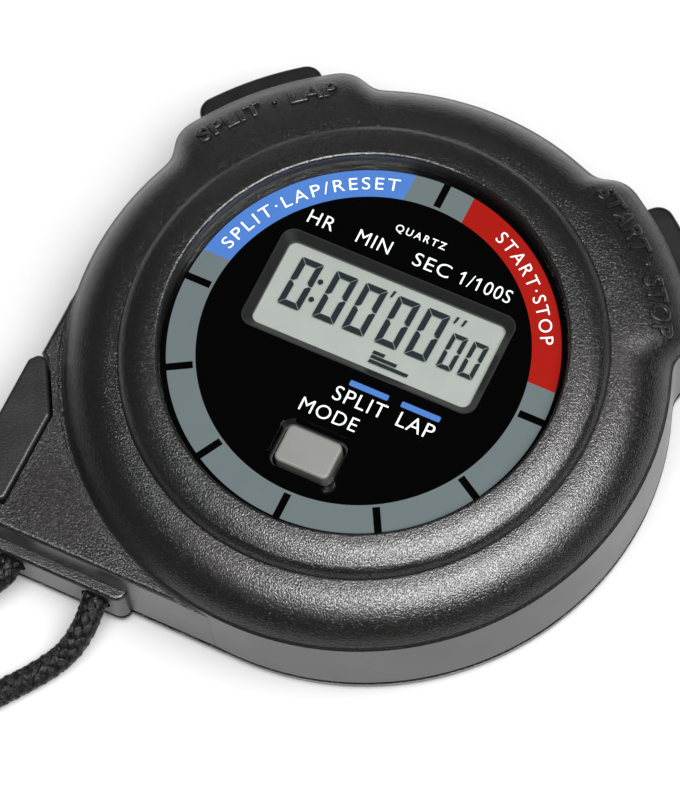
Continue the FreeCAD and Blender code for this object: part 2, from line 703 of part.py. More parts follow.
def case_screws():
    screws = []
    for place in case_screw_places():
        radius, low, high = CASE_HEAD
        head = cylinder(radius, (low, high), place.x, place.y)
        cross = box((-1.2, 1.2), (-0.2, 0.2), (low, low + 0.5))
        cross = cross.fuse(box((-0.2, 0.2), (-1.2, 1.2), (low, low + 0.5)))
        cross.translate(Vec(place.x, place.y, 0))
        shaft = cylinder(CASE_SHAFT_R, (high, CASE_SHAFT_TOP_Z), place.x, place.y)
        screws.append(head.cut(cross).fuse(shaft).removeSplitter())
    return Part.makeCompound(screws)


def module_screws():
    screws = []
    for angle in MODULE_SCREW_ANGLES:
        place = polar(MODULE_SCREW_R, angle)
        head = cylinder(1.6, (BOARD_Z - 0.9, BOARD_Z), place.x, place.y)
        shaft = cylinder(0.85, (BOARD_Z, MODULE_SHAFT_TOP_Z), place.x, place.y)
        screws.append(head.fuse(shaft))
    return Part.makeCompound(screws)


def tube_along(name, points):
    """A round cord along straight runs joined by tangent arcs."""
    points = [Vec(*p) for p in points]
    edges = []
    radii = []
    last = points[0]
    for before, corner, after in zip(points, points[1:], points[2:]):
        arriving = corner - before
        leaving = after - corner
        turn = arriving.getAngle(leaving)
        trim = 0.45 * min(arriving.Length, leaving.Length)
        radii.append(trim / math.tan(turn / 2))
        start = corner - arriving.normalize() * trim
        end = corner + leaving.normalize() * trim
        inward = (start + end) * 0.5 - corner
        centre = corner + inward.normalize() * (radii[-1] / math.cos(turn / 2))
        middle = centre + (corner - centre).normalize() * radii[-1]
        edges.append(Part.LineSegment(last, start).toShape())
        edges.append(Part.Arc(start, middle, end).toShape())
        last = end
    edges.append(Part.LineSegment(last, points[-1]).toShape())
    path = Part.Wire(edges)
    section = Part.Wire(Part.makeCircle(CORD_R, points[0], points[1] - points[0]))
    tube = path.makePipeShell([section], True, True)
    expected = math.pi * CORD_R * CORD_R * path.Length
    print(f"{name}: length {path.Length:.1f}, volume ratio {tube.Volume / expected:.4f}, radii",
          " ".join(f"{r:.1f}" for r in radii))
    return tube


def coil_point(angle, z):
    place = polar(COIL_OUTER_LINE_R, angle, z, COIL_X, COIL_Y)
    return (place.x, place.y, place.z)


TUNNEL_MOUTH_A = (TUNNEL_X + TUNNEL_BEND_R, BOSS_FRONT_Y, TUNNEL_Z)
TUNNEL_MOUTH_B = (TUNNEL_X - TUNNEL_BEND_R, BOSS_FRONT_Y, TUNNEL_Z)
COIL_LOW_Z = COIL_BASE_Z + CORD_R
COIL_HIGH_Z = COIL_LOW_Z + CORD_DIAMETER

# Each strand's route, from its mouth in the boss to the coil's outer turn.
STRAND_A = [
    TUNNEL_MOUTH_A,
    (-15.9, -34.0, 5.0),
    (-15.7, -36.2, 4.3),
    (-16.5, -39.0, 2.2),
    (-18.4, -42.2, 1.5),
    (-21.4, -46.2, 1.6),
    (-25.2, -52.1, 1.5),
    (-29.3, -58.1, 1.6),
    coil_point(COIL_ENTRY_ANGLE, COIL_LOW_Z),
]
STRAND_B = [
    TUNNEL_MOUTH_B,
    (-26.0, -34.0, 5.0),
    (-26.05, -35.0, 4.9),
    (-27.0, -36.8, 4.75),
    (-28.8, -38.0, 4.6),
    (-31.3, -38.3, 4.5),
    (-35.0, -37.5, 4.5),
    (-40.1, -35.9, 4.6),
    coil_point(COIL_EXIT_ANGLE, COIL_HIGH_Z),
]


def coil_outline(grow):
    """The stored turns as one ring with round corners, grown on every side."""
    half = COIL_ROWS * CORD_DIAMETER / 2 + grow
    levels = (COIL_BASE_Z - grow, COIL_BASE_Z + 2 * CORD_DIAMETER + grow)
    body = ring(COIL_MID_R - half, COIL_MID_R + half, levels)
    body = body.makeFillet(CORD_R * 0.9 + grow, [e for e in body.Edges if e.BoundBox.ZLength < 1e-4])
    body.translate(Vec(COIL_X, COIL_Y, 0))
    return body


def cord_coil():
    return coil_outline(0)


def cord_tie():
    """Band that hugs the bundle of turns at one place."""
    band = coil_outline(TIE_THICKNESS).cut(coil_outline(0.02))
    reach = COIL_MID_R + COIL_ROWS * CORD_DIAMETER
    place = turned(box((0, reach), (-TIE_WIDTH / 2, TIE_WIDTH / 2), (-1, reach)), TIE_ANGLE)
    place.translate(Vec(COIL_X, COIL_Y, 0))
    return band.common(place)


save("upper_case", upper_case())
save("back_cover", back_cover())
save("side_pad", side_pad())
save("lens", lens())
save("lens_adhesive", lens_adhesive())
save("dial_card", dial_card())
save("window_frame", window_frame())
save("lcd_front_polariser", lcd_sheet(FILM, POLARISER_Z))
save("lcd_front_glass", lcd_sheet(GLASS, FRONT_GLASS_Z))
save("lcd_rear_glass", lcd_sheet(REAR_GLASS, REAR_GLASS_Z))
save("lcd_reflector", lcd_sheet(FILM, REFLECTOR_Z))
save("upper_connector_strip", connector_strip(1))
save("lower_connector_strip", connector_strip(-1))
save("module_housing", module_housing())
save("circuit_board", circuit_board())
save("chip_blob", chip_blob())
save("quartz_crystal", quartz_crystal())
save("chip_capacitors", chip_capacitors())
save("coin_cell", coin_cell())
save("battery_plus_strap", battery_plus_strap())
save("battery_minus_leaf", battery_minus_leaf())
save("piezo_buzzer", piezo_buzzer())
save("buzzer_spring", buzzer_spring())
for which, angle in BUTTON_ANGLES.items():
    save(f"{which}_button", turned(side_button(), angle))
    save(f"{which}_spring", turned(side_spring(), angle))
    save(f"{which}_contact", turned(side_contact(), angle))
save("mode_button", mode_button())
save("mode_rubber_key", mode_rubber_key())
save("case_screws", case_screws())
save("module_screws", module_screws())
save("cord_anchor_loop", cord_tunnel(CORD_R))
save("cord_strand_a", tube_along("cord_strand_a", STRAND_A))
save("cord_strand_b", tube_along("cord_strand_b", STRAND_B))
save("cord_coil", cord_coil())
save("cord_tie", cord_tie())
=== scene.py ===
"""Looks of a digital stopwatch on a neck cord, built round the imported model.

Lengths in this file are millimetres until they reach mesh() or mm(), which give Blender metres.
The origin is on the dial's axis at the flat back, +Z rises out of the dial and +Y points to 12 o'clock.
"""

import json
import math

import bmesh
import bpy
import numpy as np
from mathutils import Matrix, Vector
from mathutils.bvhtree import BVHTree


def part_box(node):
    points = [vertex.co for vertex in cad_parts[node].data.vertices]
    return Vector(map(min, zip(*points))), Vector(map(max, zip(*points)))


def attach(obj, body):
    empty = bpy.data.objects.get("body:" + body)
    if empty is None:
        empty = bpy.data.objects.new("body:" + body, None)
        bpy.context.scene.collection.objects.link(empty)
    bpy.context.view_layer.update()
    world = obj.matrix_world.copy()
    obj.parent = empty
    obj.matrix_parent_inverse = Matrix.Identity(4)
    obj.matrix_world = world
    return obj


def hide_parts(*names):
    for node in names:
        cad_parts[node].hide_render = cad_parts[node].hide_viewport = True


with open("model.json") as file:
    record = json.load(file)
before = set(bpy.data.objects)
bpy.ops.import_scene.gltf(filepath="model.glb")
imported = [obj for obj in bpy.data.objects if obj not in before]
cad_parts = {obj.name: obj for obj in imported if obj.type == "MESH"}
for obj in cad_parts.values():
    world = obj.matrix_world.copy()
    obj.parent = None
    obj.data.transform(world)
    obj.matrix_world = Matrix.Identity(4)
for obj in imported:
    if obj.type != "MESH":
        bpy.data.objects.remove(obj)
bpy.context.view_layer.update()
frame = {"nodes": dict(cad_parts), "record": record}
nodes = frame["nodes"]

MM = 0.001


def mm(*values):
    return tuple(v * MM for v in values)


def top_of(node):
    """A node's highest z, in mm."""
    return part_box(node)[1].z / MM


# ---------------------------------------------------------------- sizes, in mm and degrees
DIAL_Z = top_of("dial_card")
LCD_Z = top_of("lcd_front_polariser")
PRINT_THICKNESS = 0.02
ABOVE_ALL = 40             # a height over the whole part
SEGMENT_RISE = 0.25        # how far the display's segments float over its reflector

RING_R = (17.6, 20.7)      # grey minute ring on the dial
TICK_R = (17.9, 20.7)
TICK_WIDTH = 0.8
TICK_ANGLES = (90, 0, -30, -60, -90, -120, -150, -180)
BLUE_LIMITS = (-3.6, 3.4)  # the blue arc's straight ends: x near 12 o'clock, y near 9 o'clock
RED_LIMITS = (3.2, 3.6)    # the red arc's: x near 12 o'clock, y near 3 o'clock

UNITS_ROW = (10.8, 12.33)  # bottom and top of HR, MIN, SEC and 1/100S
ONE_STEMS = (6.0, 7.81)    # left sides of the ones in 1/100S
ONE_TOP = 12.31
LAP_ROW = (-6.45, -4.8)    # SPLIT and LAP
MODE_ROW = (-8.95, -7.4)
BAR_ROW = (-4.35, -3.7)    # the blue bars under the display
ARC_ROW = (18.45, 19.85)   # radii of the words on the blue and red arcs
RAISED_ROW = (30.2, 32.4)  # radii of the raised words on the shoulders
RAISED_BY = 0.36
SUNK_BY = 0.2              # how far the raised letters' feet go into the case

CORD_DIAMETER = 2.9
CORD_R = CORD_DIAMETER / 2
MOUTH_A = (-15.9, -33.4, 5.0)  # where each strand leaves the boss
MOUTH_B = (-26.0, -33.4, 5.0)
COIL_CENTRE = (-49.5, -53.5)
COIL_MID_R = 15.0
COIL_ROWS = 4
COIL_LOW_Z = 0.4 + CORD_R
COIL_HIGH_Z = COIL_LOW_Z + CORD_DIAMETER
COIL_LINE_R = COIL_MID_R + (COIL_ROWS - 1) * CORD_R
COIL_ENTRY = -33.0         # where strand A runs into the coil's outer row
COIL_EXIT = 79.0           # where strand B leaves it
COIL_STEP = 15.0           # between the coil's points
COIL_CROSSING = 0.2        # the part of each turn that leads over to the next row


# ---------------------------------------------------------------- camera
def make_camera():
    """Looks down at the dial from about 5 o'clock, slightly rolled."""
    aim = Vector(mm(0.34, -6.26, 15.7))
    distance = 0.4441
    azimuth = math.radians(-54.86)
    elevation = math.radians(66.54)
    roll = math.radians(10.08)
    away = Vector((
        math.cos(elevation) * math.cos(azimuth),
        math.cos(elevation) * math.sin(azimuth),
        math.sin(elevation),
    ))
    level = Vector((0, 0, 1)).cross(away).normalized()
    upright = away.cross(level)
    right = level * math.cos(roll) - upright * math.sin(roll)
    up = upright * math.cos(roll) + level * math.sin(roll)
    data = bpy.data.cameras.new("camera")
    data.lens = 192.4
    data.sensor_width = 36
    data.clip_start = 0.02
    camera = bpy.data.objects.new("camera", data)
    turn = Matrix((right, up, away)).transposed().to_4x4()
    camera.matrix_world = Matrix.Translation(aim + away * distance) @ turn
    bpy.context.scene.collection.objects.link(camera)
    bpy.context.scene.camera = camera


make_camera()


# ---------------------------------------------------------------- mesh helpers
def mesh(name, points, faces, material=None, smooth=False):
    """A mesh object from points in mm."""
    data = bpy.data.meshes.new(name)
    data.from_pydata([mm(*p) for p in points], [], faces)
    data.update()
    if smooth:
        data.shade_smooth()
    thing = bpy.data.objects.new(name, data)
    bpy.context.scene.collection.objects.link(thing)
    if material:
        data.materials.append(material)
    return thing


def clean(thing):
    """Welds doubled points and turns all faces outwards."""
    form = bmesh.new()
    form.from_mesh(thing.data)
    bmesh.ops.remove_doubles(form, verts=form.verts, dist=1e-7)
    bmesh.ops.recalc_face_normals(form, faces=form.faces)
    form.to_mesh(thing.data)
    form.free()
    return thing


def polar(radius, angle):
    """The x and y of a point at this radius and angle in degrees."""
    turn = math.radians(angle)
    return radius * math.cos(turn), radius * math.sin(turn)


def plates(name, outlines, z, thickness, material):
    """Thin plates with these closed outlines of (x, y) points, from z up."""
    points = []
    faces = []
    for outline in outlines:
        first = len(points)
        count = len(outline)
        points += [(x, y, z) for x, y in outline]
        points += [(x, y, z + thickness) for x, y in outline]
        faces.append([first + count + i for i in range(count)])
        faces.append([first + i for i in reversed(range(count))])
        for i in range(count):
            j = (i + 1) % count
            faces.append([first + i, first + j, first + count + j, first + count + i])
    return clean(mesh(name, points, faces, material))


# ---------------------------------------------------------------- the neck cord
STRAND_A = [
    MOUTH_A,
    (-15.9, -34.0, 5.0),
    (-15.7, -36.2, 4.3),
    (-16.5, -39.0, 2.2),
    (-18.4, -42.2, 1.5),
    (-21.4, -46.2, 1.6),
    (-25.2, -52.1, 1.5),
    (-29.3, -58.1, 1.6),
]
STRAND_B = [
    MOUTH_B,
    (-26.0, -34.0, 5.0),
    (-26.05, -35.0, 4.9),
    (-27.0, -36.8, 4.75),
    (-28.8, -38.0, 4.6),
    (-31.3, -38.3, 4.5),
    (-35.0, -37.5, 4.5),
    (-40.1, -35.9, 4.6),
]


def coil_turns():
    """The coil's points, clockwise: four turns inwards below, then outwards on top of them."""
    turned = 360 * 2 * COIL_ROWS - (COIL_EXIT - COIL_ENTRY)
    count = round(turned / COIL_STEP)
    points = []
    for i in range(count + 1):
        angle = turned * i / count
        turn, part = divmod(angle / 360, 1)
        part = max(0.0, (part - (1 - COIL_CROSSING)) / COIL_CROSSING)
        place = turn + part * part * (3 - 2 * part)
        row = min(place, COIL_ROWS - 1, 2 * COIL_ROWS - 1 - place)
        row = max(row, 0)
        level = min(1.0, max(0.0, place - (COIL_ROWS - 1)))
        radius = (COIL_LINE_R - row * CORD_DIAMETER) / math.cos(math.radians(COIL_STEP / 2))
        x, y = polar(radius, COIL_ENTRY - angle)
        z = COIL_LOW_Z + (COIL_HIGH_Z - COIL_LOW_Z) * level
        points.append((COIL_CENTRE[0] + x, COIL_CENTRE[1] + y, z))
    return points


def cord_route():
    """The whole cord's line as one open NURBS spline, with no bevel."""
    points = STRAND_A + coil_turns() + STRAND_B[::-1]
    data = bpy.data.curves.new("cord_route", "CURVE")
    data.dimensions = "3D"
    data.resolution_u = 12
    spline = data.splines.new("NURBS")
    spline.points.add(len(points) - 1)
    for knot, point in zip(spline.points, points):
        knot.co = (*mm(*point), 1)
    spline.order_u = 3
    spline.use_endpoint_u = True
    return data


def points_on(route):
    """The route's line as Blender evaluates it, in metres."""
    holder = bpy.data.objects.new("cord_route", route)
    bpy.context.scene.collection.objects.link(holder)
    bpy.context.view_layer.update()
    found = bpy.data.meshes.new_from_object(holder)
    line = np.array([v.co for v in found.vertices], float)
    bpy.data.objects.remove(holder)
    bpy.data.meshes.remove(found)
    return line


def evenly(line, spacing):
    """A line's points moved to even spacing, and its length."""
    run = np.r_[0, np.cumsum(np.linalg.norm(np.diff(line, axis=0), axis=1))]
    count = max(2, round(run[-1] / spacing))
    wanted = np.linspace(0, run[-1], count + 1)
    return np.column_stack([np.interp(wanted, run, line[:, k]) for k in range(3)]), run[-1]


def frames_along(line):
    """Two unit vectors across the line at each point, carried along it without twist."""
    ahead = np.gradient(line, axis=0)
    ahead /= np.linalg.norm(ahead, axis=1)[:, None]
    across = np.cross(ahead[0], (0, 0, 1.0))
    across /= np.linalg.norm(across)
    first = []
    for direction in ahead:
        across = across - direction * (across @ direction)
        across /= np.linalg.norm(across)
        first.append(across)
    first = np.array(first)
    return ahead, first, np.cross(ahead, first)


BRAID_PITCH = 9.0          # one full turn of a yarn bundle round the cord
BRAID_CARRIERS = 6         # yarn bundles in each direction
BRAID_STEPS = 20           # points per pitch
YARN_WIDTH = 0.98
YARN_THICKNESS = 0.5
YARN_SIDES = 6
YARN_WEAVE = 0.12          # how far a bundle moves in and out as it crosses the others
CORE_R = 1.0
CORE_SIDES = 8


def tube_faces(first, rings, sides):
    """A closed tube's faces, where first is the number of its first point."""
    faces = []
    for k in range(rings - 1):
        for s in range(sides):
            a = first + k * sides + s
            b = first + k * sides + (s + 1) % sides
            faces.append([a, b, b + sides, a + sides])
    faces.append([first + s for s in reversed(range(sides))])
    last = first + (rings - 1) * sides
    faces.append([last + s for s in range(sides)])
    return faces


def braided_cord(name, material):
    """Flattened yarn bundles that pass over and under each other round a core."""
    line, length = evenly(points_on(cord_route()), BRAID_PITCH / BRAID_STEPS * MM)
    line = line / MM
    ahead, first, second = frames_along(line)
    run = np.linspace(0, length / MM, len(line))
    rings = len(line)
    points = []
    faces = []
    uvs = []

    around = np.arange(CORE_SIDES) * math.tau / CORE_SIDES
    core = (
        line[:, None, :]
        + CORE_R * np.cos(around)[None, :, None] * first[:, None, :]
        + CORE_R * np.sin(around)[None, :, None] * second[:, None, :]
    )
    faces += tube_faces(0, rings, CORE_SIDES)
    points.append(core.reshape(-1, 3))
    uvs.append(np.zeros((rings * CORE_SIDES, 2)))

    section = np.arange(YARN_SIDES) * math.tau / YARN_SIDES
    wave = np.cos(math.tau * BRAID_CARRIERS * run / BRAID_PITCH)
    middle_r = CORD_R - YARN_THICKNESS / 2 - YARN_WEAVE
    for sense in (1, -1):
        for carrier in range(BRAID_CARRIERS):
            turn = sense * math.tau * run / BRAID_PITCH + math.tau * carrier / BRAID_CARRIERS
            outward = np.cos(turn)[:, None] * first + np.sin(turn)[:, None] * second
            radius = middle_r + sense * YARN_WEAVE * wave
            centre = line + radius[:, None] * outward
            forward = np.gradient(centre, axis=0)
            forward /= np.linalg.norm(forward, axis=1)[:, None]
            side = np.cross(outward, forward)
            side /= np.linalg.norm(side, axis=1)[:, None]
            lift = np.cross(forward, side)
            ring = (
                centre[:, None, :]
                + YARN_WIDTH / 2 * np.cos(section)[None, :, None] * side[:, None, :]
                + YARN_THICKNESS / 2 * np.sin(section)[None, :, None] * lift[:, None, :]
            )
            start = sum(len(p) for p in points)
            faces += tube_faces(start, rings, YARN_SIDES)
            points.append(ring.reshape(-1, 3))
            across = np.cos(section) * 0.5 + 0.5
            uvs.append(np.column_stack([np.repeat(run, YARN_SIDES), np.tile(across, rings)]))
    cord = mesh(name, np.concatenate(points).tolist(), faces, material, smooth=True)
    coordinates = np.concatenate(uvs)
    layer = cord.data.uv_layers.new(name="yarn")
    corner = np.zeros(len(cord.data.loops), int)
    cord.data.loops.foreach_get("vertex_index", corner)
    layer.data.foreach_set("uv", coordinates[corner].ravel())
    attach(cord, "case")
    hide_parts("cord_strand_a", "cord_strand_b", "cord_coil")


# ---------------------------------------------------------------- materials
class Nodes:
    """A material's node tree, with short ways to add what these materials share."""

    def __init__(self, name):
        self.material = bpy.data.materials.new(name)
        self.material.use_nodes = True
        self.tree = self.material.node_tree
        self.shader = self.tree.nodes["Principled BSDF"]
        self.place = self.add("ShaderNodeTexCoord").outputs["Object"]

    def add(self, kind, inputs=(), **settings):
        """A new node, whose inputs are values or other nodes' outputs."""
        node = self.tree.nodes.new(kind)
        for key, value in settings.items():
            setattr(node, key, value)
        for key, value in dict(inputs).items():
            if isinstance(value, bpy.types.NodeSocket):
                self.tree.links.new(value, node.inputs[key])
            else:
                node.inputs[key].default_value = value
        return node

    def link(self, source, key):
        self.tree.links.new(source, self.shader.inputs[key])

    def set(self, **values):
        for key, value in values.items():
            self.shader.inputs[key.replace("_", " ")].default_value = value

    def noise(self, size, detail=2.0, vector=None):
        """Noise whose features are about size mm across."""
        inputs = {"Vector": vector or self.place, "Scale": 1 / (size * MM), "Detail": detail}
        return self.add("ShaderNodeTexNoise", inputs).outputs["Fac"]

    def cells(self, size):
        """Distance to the nearest of scattered points, about size mm apart."""
        inputs = {"Vector": self.place, "Scale": 1 / (size * MM)}
        return self.add("ShaderNodeTexVoronoi", inputs).outputs["Distance"]

    def spread(self, value, low, high, to_low, to_high):
        """Maps a value from one range to another, and holds it at the ends."""
        return self.add("ShaderNodeMapRange", {
            "Value": value, "From Min": low, "From Max": high, "To Min": to_low, "To Max": to_high,
        }).outputs["Result"]

    def blend(self, factor, dark, light):
        """A colour between two others."""
        node = self.add("ShaderNodeMix", data_type="RGBA")
        self.tree.links.new(factor, node.inputs[0])
        for socket, value in ((node.inputs[6], dark), (node.inputs[7], light)):
            if isinstance(value, bpy.types.NodeSocket):
                self.tree.links.new(value, socket)
            else:
                socket.default_value = (*value, 1)
        return node.outputs[2]

    def maths(self, operation, a, b=0.0):
        node = self.add("ShaderNodeMath", operation=operation)
        for socket, value in ((node.inputs[0], a), (node.inputs[1], b)):
            if isinstance(value, bpy.types.NodeSocket):
                self.tree.links.new(value, socket)
            else:
                socket.default_value = value
        return node.outputs[0]

    def bump(self, height, depth, strength=1.0):
        """Relief of depth mm."""
        inputs = {"Height": height, "Distance": depth * MM, "Strength": strength}
        return self.add("ShaderNodeBump", inputs).outputs["Normal"]


def shade_of(colour, amount):
    """A colour made darker or lighter."""
    return tuple(c * amount for c in colour)


def case_plastic():
    """Black moulded plastic: spark-eroded grain on the top, smooth upright walls."""
    n = Nodes("case_plastic")
    geometry = n.add("ShaderNodeNewGeometry")
    split = n.add("ShaderNodeSeparateXYZ", {"Vector": geometry.outputs["Normal"]})
    level = n.maths("ABSOLUTE", split.outputs["Z"])
    grained = n.spread(level, 0.03, 0.12, 0.0, 1.0)
    coarse = n.noise(0.17, detail=1.0)
    pits = n.cells(0.13)
    relief = n.maths("ADD", coarse, n.maths("MULTIPLY", pits, 0.4))
    relief = n.maths("MULTIPLY", relief, grained)
    n.link(n.bump(relief, 0.045), "Normal")
    mottle = n.noise(6.0, detail=3.0)
    n.link(n.blend(mottle, (0.0065, 0.0065, 0.0065), (0.009, 0.009, 0.0087)), "Base Color")
    smooth = n.spread(n.noise(9.0), 0.3, 0.7, 0.27, 0.33)
    grainy = n.spread(coarse, 0.3, 0.7, 0.2, 0.27)
    roughness = n.add("ShaderNodeMix", {"Factor": grained, 2: smooth, 3: grainy}, data_type="FLOAT")
    n.link(roughness.outputs[0], "Roughness")
    sparkle = n.spread(n.noise(0.14, detail=1.0), 0.33, 0.67, 0.3, 0.88)
    shine = n.add("ShaderNodeMix", {"Factor": grained, 2: 0.5, 3: sparkle}, data_type="FLOAT")
    n.link(shine.outputs[0], "Specular IOR Level")
    n.set(IOR=1.56)
    return n.material


def plain_plastic(name, colour, roughness, grain=0.25, depth=0.012):
    """Moulded plastic with a light satin texture."""
    n = Nodes(name)
    fine = n.noise(grain, detail=2.0)
    broad = n.noise(5.0, detail=3.0)
    n.link(n.blend(broad, shade_of(colour, 0.9), shade_of(colour, 1.08)), "Base Color")
    n.link(n.spread(broad, 0.3, 0.7, roughness - 0.04, roughness + 0.05), "Roughness")
    n.link(n.bump(fine, depth, 0.6), "Normal")
    return n.material


def metal(name, colour, roughness, brush=(1, 1, 1)):
    """Plated or drawn metal with fine marks, stretched along an axis by brush."""
    n = Nodes(name)
    stretched = n.add("ShaderNodeMapping", {"Vector": n.place, "Scale": brush}).outputs["Vector"]
    marks = n.noise(0.15, detail=4.0, vector=stretched)
    tarnish = n.noise(2.5, detail=3.0)
    n.link(n.blend(tarnish, shade_of(colour, 0.82), shade_of(colour, 1.05)), "Base Color")
    n.link(n.spread(marks, 0.3, 0.7, roughness - 0.06, roughness + 0.08), "Roughness")
    n.link(n.bump(marks, 0.006, 0.4), "Normal")
    n.set(Metallic=1.0)
    return n.material


def ink(name, colour, roughness=0.3):
    """Screen-printed ink, very slightly uneven."""
    n = Nodes(name)
    grain = n.noise(0.08, detail=2.0)
    cloud = n.noise(3.0, detail=2.0)
    n.link(n.blend(cloud, shade_of(colour, 0.96), shade_of(colour, 1.03)), "Base Color")
    n.link(n.spread(grain, 0.3, 0.7, roughness * 0.8, roughness * 1.2), "Roughness")
    n.link(n.bump(grain, 0.001, 0.3), "Normal")
    n.set(Specular_IOR_Level=0.12)
    return n.material


def clear_acrylic():
    """A clear pane: light goes straight through it, and its faces shine by their angle."""
    n = Nodes("clear_acrylic")
    tree = n.tree
    haze = n.noise(0.6, detail=3.0)
    fresnel = n.add("ShaderNodeFresnel", {"IOR": 1.49}).outputs[0]
    inside = n.add("ShaderNodeNewGeometry").outputs["Backfacing"]
    outer_shine = n.maths("MULTIPLY", fresnel, n.spread(inside, 0.0, 1.0, 1.0, 0.2))
    gloss = n.add("ShaderNodeBsdfGlossy", {"Color": (1, 1, 1, 1)})
    tree.links.new(n.spread(haze, 0.3, 0.7, 0.02, 0.045), gloss.inputs["Roughness"])
    clear = n.add("ShaderNodeBsdfTransparent", {"Color": (0.99, 0.995, 0.995, 1)})
    mix = n.add("ShaderNodeMixShader")
    tree.links.new(outer_shine, mix.inputs[0])
    tree.links.new(clear.outputs[0], mix.inputs[1])
    tree.links.new(gloss.outputs[0], mix.inputs[2])
    tree.links.new(mix.outputs[0], tree.nodes["Material Output"].inputs["Surface"])
    tree.nodes.remove(n.shader)
    return n.material


def lcd_face():
    """Grey-green polariser over a silvery reflector."""
    n = Nodes("lcd_face")
    fleck = n.noise(0.16, detail=2.0)
    cloud = n.noise(4.0, detail=2.0)
    tone = n.maths("ADD", n.maths("MULTIPLY", fleck, 0.6), n.maths("MULTIPLY", cloud, 0.4))
    patchy = n.spread(tone, 0.35, 0.65, 0, 1)
    n.link(n.blend(patchy, (0.235, 0.252, 0.23), (0.27, 0.288, 0.262)), "Base Color")
    n.set(Roughness=0.45)
    n.link(n.bump(fleck, 0.004, 0.5), "Normal")
    return n.material


def glass_pane():
    """Thin display glass."""
    n = Nodes("lcd_glass")
    n.set(IOR=1.5, Transmission_Weight=0.9)
    n.link(n.spread(n.noise(1.0), 0.3, 0.7, 0.02, 0.06), "Roughness")
    n.link(n.blend(n.noise(5.0), (0.80, 0.86, 0.83), (0.86, 0.91, 0.88)), "Base Color")
    return n.material


def board_laminate():
    """Green board with its glass weave just showing."""
    n = Nodes("board_laminate")
    weave = n.add("ShaderNodeTexChecker", {"Vector": n.place, "Scale": 1 / (0.35 * MM)}).outputs["Fac"]
    tone = n.maths("ADD", n.maths("MULTIPLY", weave, 0.4), n.maths("MULTIPLY", n.noise(1.2), 0.6))
    n.link(n.blend(tone, (0.01, 0.07, 0.03), (0.02, 0.13, 0.055)), "Base Color")
    n.set(Roughness=0.35)
    n.link(n.bump(weave, 0.008, 0.4), "Normal")
    return n.material


def layered_rubber():
    """Thin conductive layers between insulating ones, along the strip."""
    n = Nodes("connector_rubber")
    bands = n.add("ShaderNodeTexWave", {"Vector": n.place, "Scale": 1 / (2.4 * MM)}, bands_direction="X")
    n.link(n.blend(bands.outputs["Fac"], (0.03, 0.03, 0.03), (0.16, 0.16, 0.17)), "Base Color")
    n.set(Roughness=0.6)
    n.link(n.bump(bands.outputs["Fac"], 0.01, 0.3), "Normal")
    return n.material


def cord_yarn():
    """Black polyester filaments that run along each yarn bundle."""
    n = Nodes("cord_braid")
    uv = n.add("ShaderNodeUVMap", uv_map="yarn").outputs["UV"]
    stretched = n.add("ShaderNodeMapping", {"Vector": uv, "Scale": (1.2, 16.0, 1.0)}).outputs["Vector"]
    filament = n.add("ShaderNodeTexNoise", {"Vector": stretched, "Scale": 1.6, "Detail": 3.0}).outputs["Fac"]
    lint = n.noise(0.5, detail=4.0)
    n.link(n.blend(filament, (0.001, 0.001, 0.001), (0.006, 0.006, 0.006)), "Base Color")
    n.link(n.spread(lint, 0.3, 0.7, 0.26, 0.36), "Roughness")
    n.link(n.spread(filament, 0.45, 0.65, 0.05, 0.9), "Specular IOR Level")
    n.link(n.bump(filament, 0.09, 0.9), "Normal")
    n.set(Sheen_Weight=0.01, Sheen_Roughness=0.4)
    return n.material


def woven_band():
    """The coarse fabric of the band round the coil."""
    n = Nodes("tie_fabric")
    inputs = {"Vector": n.place, "Scale": 1 / (1.6 * MM)}
    across = n.add("ShaderNodeTexWave", inputs, bands_direction="Z")
    along = n.add("ShaderNodeTexWave", inputs, bands_direction="DIAGONAL")
    weave = n.maths("MULTIPLY", across.outputs["Fac"], along.outputs["Fac"])
    n.link(n.blend(weave, (0.012, 0.012, 0.013), (0.05, 0.05, 0.055)), "Base Color")
    n.set(Roughness=0.8, Sheen_Weight=0.3)
    n.link(n.bump(weave, 0.08, 0.8), "Normal")
    return n.material


def ceramic():
    """Tan capacitor bodies."""
    n = Nodes("ceramic")
    ends = n.noise(0.5, detail=2.0)
    n.link(n.blend(ends, (0.30, 0.19, 0.09), (0.42, 0.29, 0.15)), "Base Color")
    n.set(Roughness=0.4)
    n.link(n.bump(ends, 0.01, 0.3), "Normal")
    return n.material


